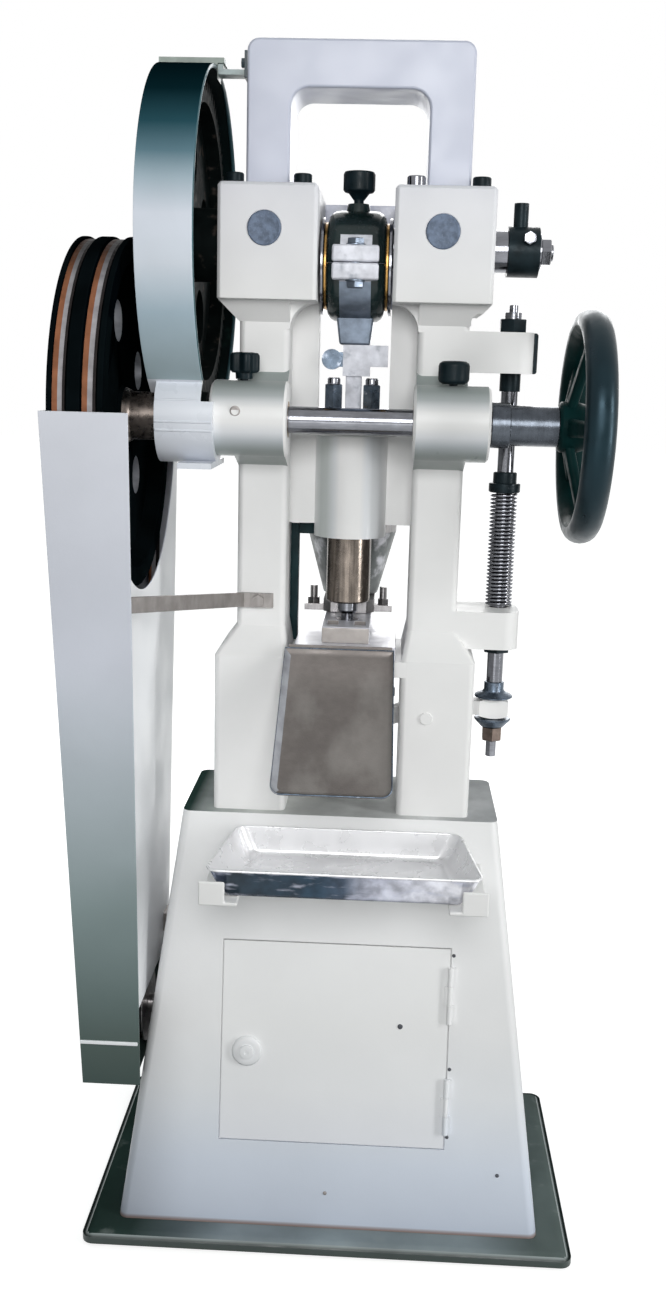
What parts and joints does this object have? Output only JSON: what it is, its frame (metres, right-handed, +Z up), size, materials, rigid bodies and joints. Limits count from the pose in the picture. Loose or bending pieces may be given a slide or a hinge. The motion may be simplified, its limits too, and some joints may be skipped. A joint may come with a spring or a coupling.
{
  "type": "tablet press",
  "caption": "Floor-standing eccentric tablet press with an open gear train, guarded belts, handwheel, feed shoe, hopper and tablet tray on a sheet pedestal.",
  "frame": {"origin": "centre of the base plate's underside", "axes": "+Z up, +X to the operator's right, -Y towards the operator"},
  "size_m": [0.639, 0.5136, 1.5],
  "materials": {
    "base_paint": "satin",
    "cabinet_paint": "satin",
    "frame_paint": "gloss",
    "guard_paint": "satin metallic",
    "belt_guard_paint": "satin metallic",
    "black_paint": "gloss",
    "green_paint": "gloss",
    "machined_steel": "machined",
    "bright_steel": "ground",
    "dark_steel": "oil blackened",
    "chute_steel": "brushed, stained",
    "zinc_steel": "zinc plated",
    "chrome_plate": "polished",
    "iron": "machined teeth",
    "bronze": "machined",
    "black_plastic": "moulded",
    "plug_plastic": "moulded",
    "belt_rubber": "worn",
    "motor_paint": "satin"
  },
  "bodies": {
    "frame": {"base_plate": "base_paint", "pedestal": "cabinet_paint", "door_hinges": "cabinet_paint", "cable_gland": "black_plastic", "motor": "motor_paint", "column_frame": "frame_paint", "ram_bush": "bronze", "bearing_block_left": "frame_paint", "bearing_block_right": "frame_paint", "block_plugs": "plug_plastic", "block_screws": "dark_steel", "shaft_bushes": "bronze", "rear_cover": "frame_paint", "top_arch": "frame_paint", "gear_guard": "guard_paint", "pinion_guard": "frame_paint", "belt_guard": "belt_guard_paint", "belt_guard_lower_cover": "belt_guard_paint", "guard_stays": "zinc_steel", "v_belts": "belt_rubber", "die_table": "machined_steel", "die_block": "machined_steel", "die": "bright_steel", "clamp_screws": "bright_steel", "hopper": "machined_steel", "hopper_funnel": "machined_steel", "hopper_plate": "machined_steel", "chute": "chute_steel", "tray_brackets": "frame_paint", "rod_bushes": "machined_steel", "rod_guide_cap": "dark_steel", "lever_pivot_pin": "frame_paint"},
    "crank": {"crankshaft": "bright_steel", "bull_gear": "iron", "lift_cam": "dark_steel", "cam_bolt": "bright_steel"},
    "drive": {"drive_shaft": "bright_steel", "pinion": "iron", "flywheel": "black_paint", "handwheel": "black_paint", "shaft_sleeve": "machined_steel"},
    "connecting_rod": {"strap_cap": "green_paint", "con_rod": "machined_steel", "big_end_liner": "bronze", "strap_bolts": "bright_steel", "con_rod_clamp": "frame_paint"},
    "oil_knob": {"oil_knob": "black_plastic"},
    "ram": {"ram": "bright_steel", "upper_punch": "bright_steel"},
    "lift_rod": {"lift_rod": "bright_steel", "rod_nuts": "dark_steel", "return_spring": "bright_steel"},
    "lift_lever": {"lift_lever": "frame_paint"},
    "lower_punch": {"lower_punch": "bright_steel"},
    "ejection_regulator": {"ejection_regulator": "machined_steel"},
    "weight_regulator": {"weight_regulator": "machined_steel"},
    "feed_shoe": {"feed_shoe": "machined_steel"},
    "door": {"door": "cabinet_paint"},
    "door_knob": {"door_knob": "cabinet_paint"},
    "tray": {"tray": "chrome_plate"},
    "star_knob": {"star_knob": "black_plastic"},
    "grease_cap": {"grease_cap": "black_plastic"},
    "motor_rotor": {"motor_pulley": "machined_steel"}
  },
  "joints": [
    {"name": "crank_turn", "type": "hinge", "parent": "frame", "child": "crank", "pos_m": [0, 0, 1.27], "axis": [1, 0, 0], "continuous": true},
    {"name": "drive_turn", "type": "hinge", "parent": "frame", "child": "drive", "pos_m": [0, -0.088, 1.06292], "axis": [1, 0, 0], "continuous": true},
    {"name": "motor_turn", "type": "hinge", "parent": "frame", "child": "motor_rotor", "pos_m": [0, -0.05, 0.272], "axis": [1, 0, 0], "continuous": true},
    {"name": "con_rod_swing", "type": "hinge", "parent": "crank", "child": "connecting_rod", "pos_m": [0, 0, 1.248], "axis": [1, 0, 0], "continuous": true},
    {"name": "oil_knob_turn", "type": "hinge", "parent": "connecting_rod", "child": "oil_knob", "pos_m": [0, 0, 1.34], "axis": [0, 0, 1], "continuous": true},
    {"name": "ram_slide", "type": "slide", "parent": "frame", "child": "ram", "axis": [0, 0, 1], "range_m": [0, 0.044]},
    {"name": "rod_slide", "type": "slide", "parent": "frame", "child": "lift_rod", "axis": [0, 0, 1], "range_m": [-0.01, 0], "deforming": ["return_spring"]},
    {"name": "lever_tilt", "type": "hinge", "parent": "frame", "child": "lift_lever", "pos_m": [0.106, 0, 0.693], "axis": [0, 1, 0], "range_deg": [0, 6.38]},
    {"name": "lower_punch_slide", "type": "slide", "parent": "frame", "child": "lower_punch", "axis": [0, 0, 1], "range_m": [0, 0.01198]},
    {"name": "ejection_regulator_turn", "type": "hinge", "parent": "lower_punch", "child": "ejection_regulator", "pos_m": [0, 0, 0.708], "axis": [0, 0, 1], "continuous": true},
    {"name": "weight_regulator_turn", "type": "hinge", "parent": "lower_punch", "child": "weight_regulator", "pos_m": [0, 0, 0.624], "axis": [0, 0, 1], "continuous": true},
    {"name": "feed_shoe_slide", "type": "slide", "parent": "frame", "child": "feed_shoe", "axis": [0, -1, 0], "range_m": [0, 0.051]},
    {"name": "door_hinge", "type": "hinge", "parent": "frame", "child": "door", "pos_m": [0.15, -0.13408, 0.25627], "axis": [0, 0.1345, 0.9909], "range_deg": [0, 110]},
    {"name": "door_knob_turn", "type": "hinge", "parent": "door", "child": "door_knob", "pos_m": [-0.111, -0.13125, 0.25185], "axis": [0, 0.9909, -0.1345], "range_deg": [0, 90]},
    {"name": "tray_lift", "type": "slide", "parent": "frame", "child": "tray", "axis": [0, 0, 1], "range_m": [0, 0.06]},
    {"name": "star_knob_turn", "type": "hinge", "parent": "frame", "child": "star_knob", "pos_m": [-0.129, -0.088, 1.12], "axis": [0, 0, 1], "continuous": true},
    {"name": "grease_cap_turn", "type": "hinge", "parent": "frame", "child": "grease_cap", "pos_m": [0.1215, -0.088, 1.12], "axis": [0, 0, 1], "continuous": true}
  ],
  "couplings": [
    {"joint": "drive_turn", "follows": "crank_turn", "ratio": -4.625},
    {"joint": "motor_turn", "follows": "crank_turn", "ratio": -20.177},
    {"joint": "con_rod_swing", "follows": "crank_turn", "ratio": -1},
    {"joint": "rod_slide", "follows": "ram_slide", "ratio": -0.225},
    {"joint": "lever_tilt", "follows": "ram_slide", "rad_per_m": 2.5268},
    {"joint": "lower_punch_slide", "follows": "ram_slide", "ratio": 0.27182},
    {"joint": "feed_shoe_slide", "follows": "ram_slide", "ratio": 1.1568}
  ]
}
